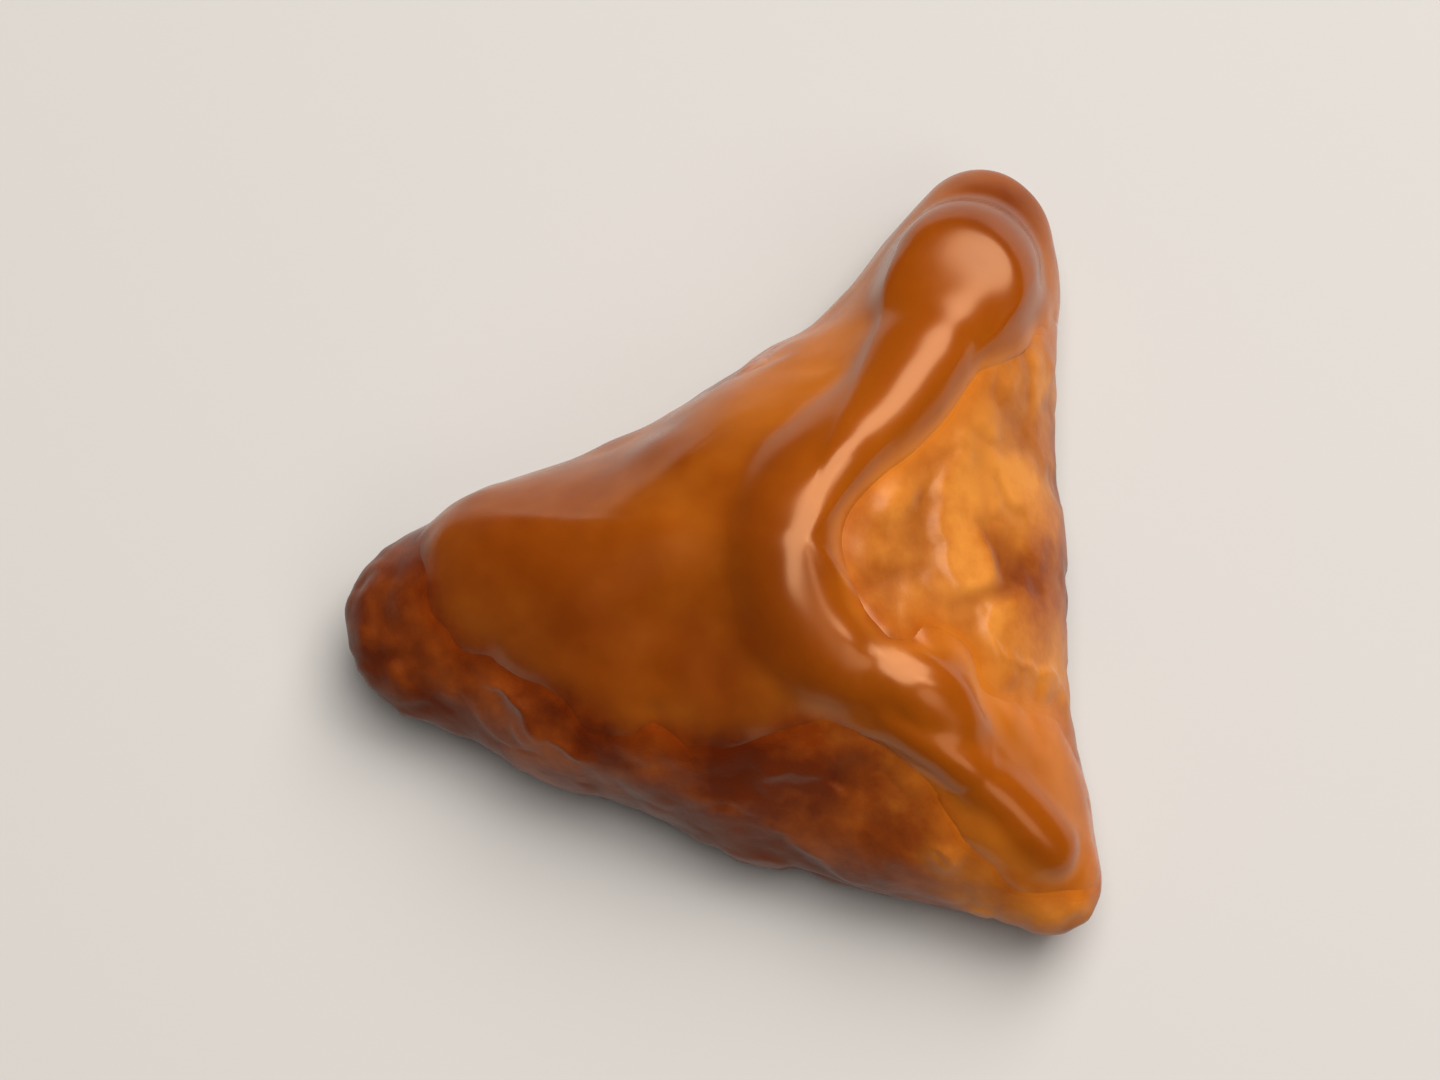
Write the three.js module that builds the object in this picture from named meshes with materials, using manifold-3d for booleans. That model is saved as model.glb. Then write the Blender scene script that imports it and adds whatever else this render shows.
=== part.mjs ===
// A semolina triangle: a three-cornered fried pastry, puffed in the middle and pinched at its
// points, with caramel poured over it. Millimetres, +Z up, resting on its flat underside, seen
// from above with the blunt corner away from the viewer.
import * as THREE from 'three';
import { mergeVertices } from 'three/addons/utils/BufferGeometryUtils.js';
import Module from 'manifold-3d';

// The three corners, counterclockwise: bearing in degrees from +X and reach out from the middle,
// the radius of the tip in plan, and how far the tip is turned up off the table
const CORNERS = [
  { bearing: 61.6, reach: 31.6, tipRadius: 4.6, turnUp: 1.2 },
  { bearing: 189.2, reach: 32.4, tipRadius: 6.8, turnUp: 0.5 },
  { bearing: 306.4, reach: 31.0, tipRadius: 3.8, turnUp: 0.8 },
];
// How far each side bows out between its corners, in the same order; a minus sign is pinched in
const SIDE_BOWS = [-3.3, 1.4, -1.3];

// The section from the crown out to the rounded edge and back along the underside. The dome is
// part pillow, full along the sides, and part blunt pyramid, with ridges to the corners
const CROWN_X = -0.5;
const CROWN_Y = -1.8;
const EDGE_HEIGHT = 5.4;
const RIM_RISE = 3.0;
const DOME_RISE = 10.8;
const PILLOW_SHARE = 0.5;
const PILLOW_POWER = 0.72;
const PEAK_POWER = 1.45;
const RIM_POWER = 7;
const UNDERSIDE_POWER = 6;
const UNDERSIDE_SINK = 0.7;
const TURN_UP_POWER = 10;

// Triangles: cuts along each edge of the starting solid, the share of its poles' arc on top, and
// the turn that keeps the caramel's edges off the crust's
const FINENESS = 19;
const TOP_SHARE = 0.64;
const SHELL_TURN = 0.35;
const SAME_POINT = 1e-5;

// Uneven dough: slow swells, and blisters where steam lifted the crust
const SWELLS = [
  { along: [0.31, 0.17, 0.10], phase: 0.6, height: 0.34 },
  { along: [-0.14, 0.36, 0.21], phase: 2.2, height: 0.28 },
  { along: [0.43, -0.29, 0.16], phase: 4.1, height: 0.20 },
];
const BLISTER_COUNT = 52;
const BLISTER_RADIUS = [2.2, 4.4];
const BLISTER_RISE = 0.2;
const BLISTER_STRAY = 0.12;
const BLISTER_LOWEST = -0.5;
const GOLDEN_SHARE = 0.618034;
// Towards the tips the dough is pinched, so blisters lose a share of their radius between two
// distances out from the middle
const TIPWARD = [19.0, 29.0];
const TIP_SHRINK = 0.5;

// The repeatable draw that places the blisters
const DRAW = { seed: 20117, factor: 1664525, step: 1013904223, range: 4294967296 };

// Caramel that ran out flat: the middle and radius of each pool in plan. The pools on the left run
// together to a sheet that ends under the long bead; the others lie at the corners
const LEFT_POOLS = [
  { x: -21.0, y: -0.5, radius: 5.5 },
  { x: -13.0, y: 1.0, radius: 9.0 },
  { x: -9.5, y: -5.5, radius: 8.0 },
  { x: -2.5, y: -6.5, radius: 6.8 },
  { x: -3.0, y: 4.5, radius: 7.0 },
  { x: 4.5, y: 12.0, radius: 5.0 },
  { x: 7.0, y: 17.5, radius: 4.5 },
];
const CORNER_POOLS = [
  { x: 12.0, y: 22.5, radius: 7.6 },
  { x: 7.5, y: -11.0, radius: 3.8 },
  { x: 13.0, y: -15.5, radius: 4.2 },
  { x: 16.0, y: -20.5, radius: 3.2 },
];
// How far the pools run into each other, the sheet's full depth, how slowly it thickens inwards,
// how steeply its edges and its front under the long bead go down, and how deep it is buried
// outside them
const POOL_BLEND = 2.5;
const POOL_DEPTH = 0.8;
const POOL_EDGE = 4.0;
const EDGE_SLOPE = 0.8;
const FRONT_SLOPE = 0.27;
const BURIED_DEPTH = 1.2;

// The lower edge of the caramel where it ran down the flank, in scallops along the side
const HEM_HEIGHT = 3.4;
const HEM_SCALLOP = 1.5;
const HEM_SPACING = 9.0;

// Caramel that set as beads with round backs: the route in plan, and half the width and the height
// over the surface at the two ends. The head is what the start of a bead is higher by. A bead
// reaches into the pastry by a share of its half width
const BEADS = [
  {
    route: [
      [10.6, 19.4], [9.1, 13.8], [6.2, 8.9], [2.8, 5.6], [0.0, 2.5], [-1.2, -1.0], [-0.8, -4.6],
      [0.8, -8.1], [4.3, -10.3], [9.7, -12.0],
    ],
    halfWidths: [3.4, 2.5],
    heights: [1.2, 0.8],
    head: 0.3,
  },
  {
    route: [[3.4, -12.8], [6.3, -14.1], [9.9, -15.8], [13.6, -17.9], [16.6, -20.8]],
    halfWidths: [1.2, 1.7],
    heights: [0.7, 0.85],
    head: 0,
  },
];
const HEAD_REACH = 0.24;
const BEAD_SINK_SHARE = 0.4;
const BEAD_STEPS_PER_MM = 0.7;
const BEAD_SIDES = 10;
const BEAD_CAP_STEPS = 3;
const ROUTE_STEPS = 120;

// The fat drop where the pour started: a broad mound, nearly level on the sloping blunt corner, with
// a flat top and a drawn-out foot. It leans part of the way with the slope that it lies on, nowhere
// stands higher over the sheet than a limit, and ends where the flank turns down
const DROP = { x: 10.7, y: 18.8, halfWidth: 6.3, halfLength: 7.8, rise: 1.6, most: 2.3, turn: 26 };
const DROP_LEAN = 0.5;
const DROP_FLATNESS = 6;
const DROP_FOOT = 2.5;
const DROP_UPRIGHT = [0.2, 0.65];

// A height above everything, and the slab below that cuts the underside flat
const ABOVE = 100;
const TABLE_WIDTH = 120;
const TABLE_DEPTH = 20;

const CRUST_COLOUR = 0xa65a1c;
const CRUST_ROUGHNESS = 0.35;

const wasm = await Module();
wasm.setup();

function planPoint(bearing, distance) {
  const angle = THREE.MathUtils.degToRad(bearing);
  return new THREE.Vector2(Math.cos(angle), Math.sin(angle)).multiplyScalar(distance);
}

// An angle moved by whole turns until it is next after another one
function angleAfter(angle, start) {
  const turns = Math.ceil((start - angle) / (2 * Math.PI));
  return angle + turns * 2 * Math.PI;
}

// One side of the outline, from the tip of a corner round to the tip of the next
function sideCurve(index) {
  const from = CORNERS[index];
  const to = CORNERS[(index + 1) % CORNERS.length];
  const fromMiddle = planPoint(from.bearing, from.reach - from.tipRadius);
  const toMiddle = planPoint(to.bearing, to.reach - to.tipRadius);
  const run = toMiddle.clone().sub(fromMiddle);
  const lean = Math.atan((4 * SIDE_BOWS[index]) / run.length());
  const fromTip = THREE.MathUtils.degToRad(from.bearing);
  const leave = angleAfter(run.angle() - Math.PI / 2 - lean, fromTip);
  const arrive = leave + 2 * lean;
  const toTip = angleAfter(THREE.MathUtils.degToRad(to.bearing), arrive);
  const firstArc = new THREE.EllipseCurve(
    fromMiddle.x, fromMiddle.y, from.tipRadius, from.tipRadius, fromTip, leave);
  const lastArc = new THREE.EllipseCurve(
    toMiddle.x, toMiddle.y, to.tipRadius, to.tipRadius, arrive, toTip);
  const start = firstArc.getPoint(1);
  const end = lastArc.getPoint(0);
  const chord = end.clone().sub(start);
  const outward = new THREE.Vector2(chord.y, -chord.x).normalize();
  const control = start.clone().lerp(end, 0.5)
    .addScaledVector(outward, (chord.length() / 2) * Math.tan(lean));
  const side = new THREE.CurvePath();
  side.add(firstArc);
  side.add(new THREE.QuadraticBezierCurve(start, control, end));
  side.add(lastArc);
  return side;
}

const SIDES = CORNERS.map((corner, index) => sideCurve(index));

// The dome's height from 0 at the edge to 1 at the crown; 27 makes the product of thirds one
function domeShare(out, cornerShare) {
  const middle = (1 - out) / 3;
  const acrossSides = middle * (middle + out) + (out * out * (1 - cornerShare)) / 4;
  const pillow = 27 * middle * acrossSides;
  const peak = 1 - Math.pow(out, PEAK_POWER);
  return THREE.MathUtils.lerp(peak, Math.pow(pillow, PILLOW_POWER), PILLOW_SHARE);
}

// The pastry's surface for a direction on the unit sphere: the azimuth runs along the outline
// and the angle from the pole runs from the crown over the edge to the middle of the underside
function pastryPoint(direction) {
  const azimuth = (Math.atan2(direction.y, direction.x) / (2 * Math.PI) + 1) % 1;
  const index = Math.min(Math.floor(azimuth * SIDES.length), SIDES.length - 1);
  const share = azimuth * SIDES.length - index;
  const edge = SIDES[index].getPointAt(share);
  const polar = Math.acos(THREE.MathUtils.clamp(direction.z, -1, 1)) / Math.PI;
  const upper = polar <= TOP_SHARE;
  const along = upper ? polar / TOP_SHARE : (1 - polar) / (1 - TOP_SHARE);
  const out = Math.sin((along * Math.PI) / 2);
  const cornerShare = (1 + Math.cos(2 * Math.PI * share)) / 2;
  const near = CORNERS[(share < 0.5 ? index : index + 1) % CORNERS.length];
  const lift = near.turnUp * Math.pow(cornerShare * out, TURN_UP_POWER);
  const x = THREE.MathUtils.lerp(CROWN_X, edge.x, out);
  const y = THREE.MathUtils.lerp(CROWN_Y, edge.y, out);
  const rim = Math.sqrt(1 - Math.pow(out, RIM_POWER));
  const under = Math.sqrt(1 - Math.pow(out, UNDERSIDE_POWER));
  const top = EDGE_HEIGHT + RIM_RISE * rim + DOME_RISE * domeShare(out, cornerShare);
  const bottom = EDGE_HEIGHT * (1 - under) - UNDERSIDE_SINK * under;
  return new THREE.Vector3(x, y, (upper ? top : bottom) + lift);
}

// A repeatable draw between 0 and 1
function drawer() {
  let state = DRAW.seed;
  return () => {
    state = (state * DRAW.factor + DRAW.step) % DRAW.range;
    return state / DRAW.range;
  };
}

// How far towards a tip a point lies, as a share from 0 to 1
function tipwardAt(point) {
  return THREE.MathUtils.smoothstep(Math.hypot(point.x, point.y), TIPWARD[0], TIPWARD[1]);
}

function makeBlisters() {
  const draw = drawer();
  const blisters = [];
  for (let count = 0; count < BLISTER_COUNT; count += 1) {
    const azimuth = 2 * Math.PI * (count * GOLDEN_SHARE + BLISTER_STRAY * draw());
    const height = 1 - (1 - BLISTER_LOWEST) * ((count + draw()) / BLISTER_COUNT);
    const level = Math.sqrt(1 - height * height);
    const direction = new THREE.Vector3(level * Math.cos(azimuth), level * Math.sin(azimuth), height);
    const middle = pastryPoint(direction);
    const full = THREE.MathUtils.lerp(BLISTER_RADIUS[0], BLISTER_RADIUS[1], draw());
    blisters.push({ middle, radius: full * (1 - TIP_SHRINK * tipwardAt(middle)) });
  }
  return blisters;
}

// How far the slow swells move the smooth form at a point
function swellAt(point) {
  let rise = 0;
  for (const swell of SWELLS) {
    const turn = point.dot(new THREE.Vector3(...swell.along)) + swell.phase;
    rise += swell.height * Math.sin(turn);
  }
  return rise;
}

function blisterAt(point, blisters) {
  let rise = 0;
  for (const blister of blisters) {
    const away = point.distanceTo(blister.middle) / blister.radius;
    const cap = away < 1 ? 1 - away * away : 0;
    rise = Math.max(rise, BLISTER_RISE * blister.radius * cap * cap);
  }
  return rise;
}

// How far inside a group of round pools a point lies, with fillets where they run together
function poolReach(point, pools) {
  let total = 0;
  for (const pool of pools) {
    const inside = pool.radius - Math.hypot(point.x - pool.x, point.y - pool.y);
    total += Math.exp(inside / POOL_BLEND);
  }
  return POOL_BLEND * Math.log(total);
}

const FRONT_LINE = new THREE.SplineCurve(BEADS[0].route.map(([x, y]) => new THREE.Vector2(x, y)))
  .getPoints(ROUTE_STEPS);

// The plan distance from the long bead's line, positive on the sheet's side of it
function sideOfBead(point) {
  const place = new THREE.Vector2(point.x, point.y);
  let nearest = Infinity;
  let side = 0;
  for (let i = 0; i + 1 < FRONT_LINE.length; i += 1) {
    const away = place.clone().sub(FRONT_LINE[i]);
    if (away.length() < nearest) {
      nearest = away.length();
      side = Math.sign(away.cross(FRONT_LINE[i + 1].clone().sub(FRONT_LINE[i])));
    }
  }
  return side * nearest;
}

// A film that thickens slowly inwards from its edge and dives under the crust outside it
function filmHeight(inside) {
  return inside < 0 ? EDGE_SLOPE * inside : POOL_DEPTH * (1 - Math.exp(-inside / POOL_EDGE));
}

// The caramel's height over the smooth form: sheet and corner pools, down to the hem on the flank
function caramelAt(point) {
  const scallop = Math.sin((2 * Math.PI * (point.x - point.y)) / HEM_SPACING);
  const hem = point.z - HEM_HEIGHT - HEM_SCALLOP * scallop;
  const sheet = filmHeight(Math.min(poolReach(point, LEFT_POOLS), hem));
  const front = FRONT_SLOPE * sideOfBead(point) + POOL_DEPTH;
  const pools = filmHeight(Math.min(poolReach(point, CORNER_POOLS), hem));
  return Math.max(Math.min(sheet, front), pools, -BURIED_DEPTH);
}

function onlyPositions(geometry) {
  const bare = geometry.clone();
  bare.deleteAttribute('normal');
  bare.deleteAttribute('uv');
  return mergeVertices(bare, SAME_POINT);
}

// The pastry's whole form as a closed mesh, moved out along its normals by a rise at each point of
// it and then by a heap on what that gives
function makeShellGeometry(turn, riseAt, heapAt) {
  const geometry = onlyPositions(new THREE.IcosahedronGeometry(1, FINENESS).rotateX(turn));
  const positions = geometry.attributes.position;
  const point = new THREE.Vector3();
  for (let i = 0; i < positions.count; i += 1) {
    const surface = pastryPoint(point.fromBufferAttribute(positions, i));
    positions.setXYZ(i, surface.x, surface.y, surface.z);
  }
  geometry.computeVertexNormals();
  const normal = new THREE.Vector3();
  for (let i = 0; i < positions.count; i += 1) {
    point.fromBufferAttribute(positions, i);
    normal.fromBufferAttribute(geometry.attributes.normal, i);
    point.addScaledVector(normal, swellAt(point) + riseAt(point));
    point.addScaledVector(normal, heapAt(point, normal));
    positions.setXYZ(i, point.x, point.y, point.z);
  }
  geometry.deleteAttribute('normal');
  return geometry;
}

// A closed mesh as a solid that can be joined and cut, without triangles that have no area
function solidFrom(geometry) {
  const corners = geometry.index.array;
  const kept = [];
  for (let i = 0; i < corners.length; i += 3) {
    const [a, b, c] = corners.slice(i, i + 3);
    if (a !== b && b !== c && c !== a) {
      kept.push(a, b, c);
    }
  }
  return new wasm.Manifold(new wasm.Mesh({
    numProp: 3,
    vertProperties: new Float32Array(geometry.attributes.position.array),
    triVerts: new Uint32Array(kept),
  }));
}

// Where a plumb line at a place in plan meets the pastry's upper surface
function touchDown(surface, x, y) {
  const ray = new THREE.Raycaster(new THREE.Vector3(x, y, ABOVE), new THREE.Vector3(0, 0, -1));
  return ray.intersectObject(surface)[0];
}

// A capsule bent along a route laid over the pastry, oval in section and sunk into it
function makeBeadGeometry(bead, surface) {
  const laid = bead.route.map(([x, y]) => touchDown(surface, x, y).point);
  const curve = new THREE.CatmullRomCurve3(laid);
  const length = curve.getLength();
  const steps = Math.round(length * BEAD_STEPS_PER_MM);
  const capsule = onlyPositions(
    new THREE.CapsuleGeometry(1, length, BEAD_CAP_STEPS, BEAD_SIDES, steps));
  const positions = capsule.attributes.position;
  const up = new THREE.Vector3(0, 0, 1);
  for (let i = 0; i < positions.count; i += 1) {
    const station = THREE.MathUtils.clamp(positions.getY(i) / length + 0.5, 0, 1);
    const width = THREE.MathUtils.lerp(bead.halfWidths[0], bead.halfWidths[1], station);
    const headward = 1 - THREE.MathUtils.smoothstep(station, 0, HEAD_REACH);
    const level = THREE.MathUtils.lerp(bead.heights[0], bead.heights[1], station);
    const height = level + bead.head * headward;
    const sink = BEAD_SINK_SHARE * width;
    const overrun = positions.getY(i) - (station - 0.5) * length;
    const tangent = curve.getTangentAt(station);
    const across = new THREE.Vector3().crossVectors(tangent, up).normalize();
    const outward = new THREE.Vector3().crossVectors(across, tangent);
    const place = curve.getPointAt(station)
      .addScaledVector(tangent, overrun * width)
      .addScaledVector(across, positions.getX(i) * width)
      .addScaledVector(outward, positions.getZ(i) * (height + sink) - sink);
    positions.setXYZ(i, place.x, place.y, place.z);
  }
  return capsule;
}

// The drop as a heap on the sheet, for a point of the sheet and the normal there
function dropOn(surface) {
  const under = touchDown(surface, DROP.x, DROP.y);
  const slope = under.face.normal;
  const turn = THREE.MathUtils.degToRad(DROP.turn);
  return (point, normal) => {
    const x = point.x - DROP.x;
    const y = point.y - DROP.y;
    const across = (x * Math.cos(turn) - y * Math.sin(turn)) / DROP.halfWidth;
    const along = (x * Math.sin(turn) + y * Math.cos(turn)) / DROP.halfLength;
    const away = Math.min(Math.hypot(across, along), 1);
    const blob = Math.pow(1 - Math.pow(away, DROP_FLATNESS), DROP_FOOT);
    const level = under.point.z - (DROP_LEAN * (slope.x * x + slope.y * y)) / slope.z;
    const upright = Math.max(normal.z, DROP_UPRIGHT[0]);
    const onTop = THREE.MathUtils.smoothstep(normal.z, DROP_UPRIGHT[0], DROP_UPRIGHT[1]);
    const climb = upright + (DROP_LEAN * (1 - upright * upright)) / upright;
    const tall = (level + DROP.rise * blob - point.z) / climb;
    return THREE.MathUtils.clamp(tall, 0, DROP.most * blob * onTop);
  };
}

function makeTableGeometry() {
  const slab = new THREE.BoxGeometry(TABLE_WIDTH, TABLE_WIDTH, TABLE_DEPTH);
  slab.translate(0, 0, -TABLE_DEPTH / 2);
  return onlyPositions(slab);
}

function makePastryMesh() {
  const blisters = makeBlisters();
  const noHeap = () => 0;
  const crust = makeShellGeometry(0, (point) => blisterAt(point, blisters), noHeap);
  const sheet = makeShellGeometry(SHELL_TURN, caramelAt, noHeap);
  const surface = new THREE.Mesh(sheet, new THREE.MeshStandardMaterial());
  const caramel = makeShellGeometry(SHELL_TURN, caramelAt, dropOn(surface));
  let solid = solidFrom(crust).add(solidFrom(caramel));
  for (const bead of BEADS) {
    solid = solid.add(solidFrom(makeBeadGeometry(bead, surface)));
  }
  solid = solid.subtract(solidFrom(makeTableGeometry()));
  const cut = solid.getMesh();
  const geometry = new THREE.BufferGeometry();
  geometry.setAttribute('position', new THREE.BufferAttribute(cut.vertProperties, 3));
  geometry.setIndex(new THREE.BufferAttribute(cut.triVerts, 1));
  geometry.computeVertexNormals();
  const glazed = new THREE.MeshStandardMaterial({
    color: CRUST_COLOUR, roughness: CRUST_ROUGHNESS, metalness: 0,
  });
  const mesh = new THREE.Mesh(geometry, glazed);
  mesh.name = 'semolina_triangle';
  return mesh;
}

const pastry = makePastryMesh();
const box = new THREE.Box3().setFromObject(pastry);
const middle = box.getCenter(new THREE.Vector3());
pastry.position.set(-middle.x, -middle.y, -box.min.z);

const group = new THREE.Group();
group.add(pastry);

export default group;
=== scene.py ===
# %% [markdown]
# # A semolina triangle
# This is one fried semolina pastry, about 56 mm from tip to tip: dough folded to a triangle,
# puffed by its own steam in hot oil, pinched at three points, and then dressed with hot caramel.
# Two things make its look. The crust is blistered and uneven under a thin film of syrup. The
# caramel is smooth, deep and very glossy. The lesson builds both as real meshes, in millimetres
# from the same form as the plain solid, and then gives each its own finish.

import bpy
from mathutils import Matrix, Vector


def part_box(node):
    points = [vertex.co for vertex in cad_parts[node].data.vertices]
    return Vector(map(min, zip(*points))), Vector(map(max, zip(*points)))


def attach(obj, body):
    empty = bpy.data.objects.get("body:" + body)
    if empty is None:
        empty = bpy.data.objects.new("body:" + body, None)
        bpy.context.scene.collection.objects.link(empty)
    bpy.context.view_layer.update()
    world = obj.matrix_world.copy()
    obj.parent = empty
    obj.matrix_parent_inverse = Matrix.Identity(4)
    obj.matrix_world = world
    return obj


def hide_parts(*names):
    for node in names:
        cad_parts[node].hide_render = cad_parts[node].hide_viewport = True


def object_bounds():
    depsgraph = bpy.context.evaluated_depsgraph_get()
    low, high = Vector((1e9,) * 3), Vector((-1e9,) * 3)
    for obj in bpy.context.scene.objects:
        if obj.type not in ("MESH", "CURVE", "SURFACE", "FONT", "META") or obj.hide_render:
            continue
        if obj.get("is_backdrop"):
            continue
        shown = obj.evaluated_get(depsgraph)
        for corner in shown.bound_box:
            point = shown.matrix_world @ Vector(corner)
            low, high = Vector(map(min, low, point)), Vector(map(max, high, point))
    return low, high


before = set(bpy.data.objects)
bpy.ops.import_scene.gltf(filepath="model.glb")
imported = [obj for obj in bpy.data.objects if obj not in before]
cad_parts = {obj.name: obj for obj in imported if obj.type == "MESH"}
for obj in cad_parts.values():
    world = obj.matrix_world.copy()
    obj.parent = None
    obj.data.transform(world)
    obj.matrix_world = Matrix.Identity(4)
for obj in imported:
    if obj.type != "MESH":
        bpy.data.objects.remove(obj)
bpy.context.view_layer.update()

# %% Tools used all through
import math
import random

import bmesh
import bpy
import numpy as np
from mathutils import Vector, noise
from mathutils.bvhtree import BVHTree

MM = 0.001
NODE = "semolina_triangle"

# %% [markdown]
# ## The pastry's form
# Seen from above the pastry is a triangle with rounded tips and slightly pinched sides. Seen in
# section it is a pillow: a dome that falls to a thick rounded rim, and a flat underside. A dome
# over a triangle could be sculpted by hand, but a formula keeps it even. Half of it is a pillow,
# high in the middle and low at every side, as steam does to a sealed triangle of dough. Half is a
# blunt pyramid, which keeps soft ridges running from the crown to the three corners.

# %% The outline, one side at a time
CORNERS = [
    {"bearing": 61.6, "reach": 31.6, "tip_radius": 4.6, "turn_up": 1.2},
    {"bearing": 189.2, "reach": 32.4, "tip_radius": 6.8, "turn_up": 0.5},
    {"bearing": 306.4, "reach": 31.0, "tip_radius": 3.8, "turn_up": 0.8},
]
SIDE_BOWS = [-3.3, 1.4, -1.3]
STEPS_PER_CURVE = 80


def on_circle(middle, radius, angles):
    return middle + radius * np.column_stack([np.cos(angles), np.sin(angles)])


def angle_after(angle, start):
    """The angle moved by whole turns until it is next after start."""
    return angle + math.ceil((start - angle) / math.tau) * math.tau


def side_line(index):
    """Points along one side, from the tip of a corner round to the tip of the next."""
    near, far = CORNERS[index], CORNERS[(index + 1) % len(CORNERS)]
    near_tip, far_tip = math.radians(near["bearing"]), math.radians(far["bearing"])
    origin = np.zeros(2)
    near_middle = on_circle(origin, near["reach"] - near["tip_radius"], np.array([near_tip]))[0]
    far_middle = on_circle(origin, far["reach"] - far["tip_radius"], np.array([far_tip]))[0]
    run = far_middle - near_middle
    lean = math.atan(4 * SIDE_BOWS[index] / np.linalg.norm(run))
    leave = angle_after(math.atan2(run[1], run[0]) - math.pi / 2 - lean, near_tip)
    arrive = leave + 2 * lean
    first = on_circle(near_middle, near["tip_radius"], np.linspace(near_tip, leave, STEPS_PER_CURVE))
    last_angles = np.linspace(arrive, angle_after(far_tip, arrive), STEPS_PER_CURVE)
    last = on_circle(far_middle, far["tip_radius"], last_angles)
    chord = last[0] - first[-1]
    outward = np.array([chord[1], -chord[0]]) / np.linalg.norm(chord)
    control = (first[-1] + last[0]) / 2 + outward * np.linalg.norm(chord) / 2 * math.tan(lean)
    t = np.linspace(0, 1, STEPS_PER_CURVE)[1:-1, None]
    bow = (1 - t) ** 2 * first[-1] + 2 * t * (1 - t) * control + t ** 2 * last[0]
    return np.vstack([first, bow, last])


SIDES = [side_line(index) for index in range(len(CORNERS))]
SIDE_LENGTHS = [np.linalg.norm(np.diff(side, axis=0), axis=1).sum() for side in SIDES]
print("sides in mm, tip to tip round the edge:", [round(length, 1) for length in SIDE_LENGTHS])


def edge_point(index, share):
    """The place on a side at a share of its length."""
    side = SIDES[index]
    steps = np.linalg.norm(np.diff(side, axis=0), axis=1)
    walked = np.concatenate([[0], np.cumsum(steps)]) / steps.sum()
    return np.column_stack([np.interp(share, walked, side[:, 0]), np.interp(share, walked, side[:, 1])])


# %% The section, from the crown over the rim to the underside
CROWN = np.array([-0.5, -1.8])
EDGE_HEIGHT = 5.4
RIM_RISE = 3.0
DOME_RISE = 10.8
PILLOW_SHARE = 0.5
PILLOW_POWER = 0.72
PEAK_POWER = 1.45
RIM_POWER = 7
UNDERSIDE_POWER = 6
UNDERSIDE_SINK = 0.7
TURN_UP_POWER = 10
TOP_SHARE = 0.64


def pastry_form(directions):
    """The surface point for each direction on a unit sphere, with where it lies on the pastry."""
    azimuth = (np.arctan2(directions[:, 1], directions[:, 0]) / math.tau + 1) % 1
    index = np.minimum((azimuth * 3).astype(int), 2)
    share = azimuth * 3 - index
    edge = np.zeros((len(directions), 2))
    lift = np.zeros(len(directions))
    for side in range(3):
        here = index == side
        edge[here] = edge_point(side, share[here])
        near, far = CORNERS[side]["turn_up"], CORNERS[(side + 1) % 3]["turn_up"]
        lift[here] = np.where(share[here] < 0.5, near, far)
    polar = np.arccos(np.clip(directions[:, 2], -1, 1)) / math.pi
    upper = polar <= TOP_SHARE
    along = np.where(upper, polar / TOP_SHARE, (1 - polar) / (1 - TOP_SHARE))
    out = np.sin(along * math.pi / 2)
    corner = (1 + np.cos(math.tau * share)) / 2
    middle = (1 - out) / 3
    pillow = 27 * middle * (middle ** 2 + middle * out + out ** 2 * (1 - corner) / 4)
    peak = 1 - out ** PEAK_POWER
    dome = PILLOW_SHARE * np.maximum(pillow, 0) ** PILLOW_POWER + (1 - PILLOW_SHARE) * peak
    plan = CROWN + (edge - CROWN) * out[:, None]
    rim = np.sqrt(np.maximum(1 - out ** RIM_POWER, 0))
    under = np.sqrt(np.maximum(1 - out ** UNDERSIDE_POWER, 0))
    top = EDGE_HEIGHT + RIM_RISE * rim + DOME_RISE * dome
    bottom = EDGE_HEIGHT * (1 - under) - UNDERSIDE_SINK * under
    height = np.where(upper, top, bottom) + lift * (corner * out) ** TURN_UP_POWER
    place = {"out": out, "corner": corner, "upper": upper, "side": index, "share": share}
    return np.column_stack([plan, height]), place


# %% [markdown]
# ## A fine, even skin to shape
# A mesh of a pastry needs faces of nearly one size all over, or its relief comes out sharp in one
# place and blurred in another. A cube cut into small squares and blown up to a ball gives that
# with four-sided faces. Each point of the ball is then carried to the pastry.

# %% Wrap a cut cube round the pastry
SHELL_CUTS = 120


def ball_of_squares(cuts):
    """Directions on a unit sphere and the squares between them."""
    cube = bmesh.new()
    bmesh.ops.create_cube(cube, size=2)
    bmesh.ops.subdivide_edges(cube, edges=cube.edges[:], cuts=cuts - 1, use_grid_fill=True)
    corners = np.array([vertex.co[:] for vertex in cube.verts])
    squares = np.array([[vertex.index for vertex in face.verts] for face in cube.faces])
    cube.free()
    warped = np.tan(corners * math.pi / 4)
    return warped / np.linalg.norm(warped, axis=1)[:, None], squares


def vertex_normals(points, squares):
    a, b, c, d = (points[squares[:, k]] for k in range(4))
    across = np.cross(c - a, d - b)
    normals = np.zeros_like(points)
    for k in range(4):
        np.add.at(normals, squares[:, k], across)
    return normals / np.linalg.norm(normals, axis=1)[:, None]


directions, squares = ball_of_squares(SHELL_CUTS)
smooth, place = pastry_form(directions)
normals = vertex_normals(smooth, squares)
print("crust squares:", len(squares), "points:", len(smooth))

# %% [markdown]
# ## Swells and large blisters
# Slow swells, 15 to 20 mm long, come from how the dough was folded. Blisters are bubbles of steam
# under the outer skin. Both run on below the caramel, so they are worked out once, for any point.

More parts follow.
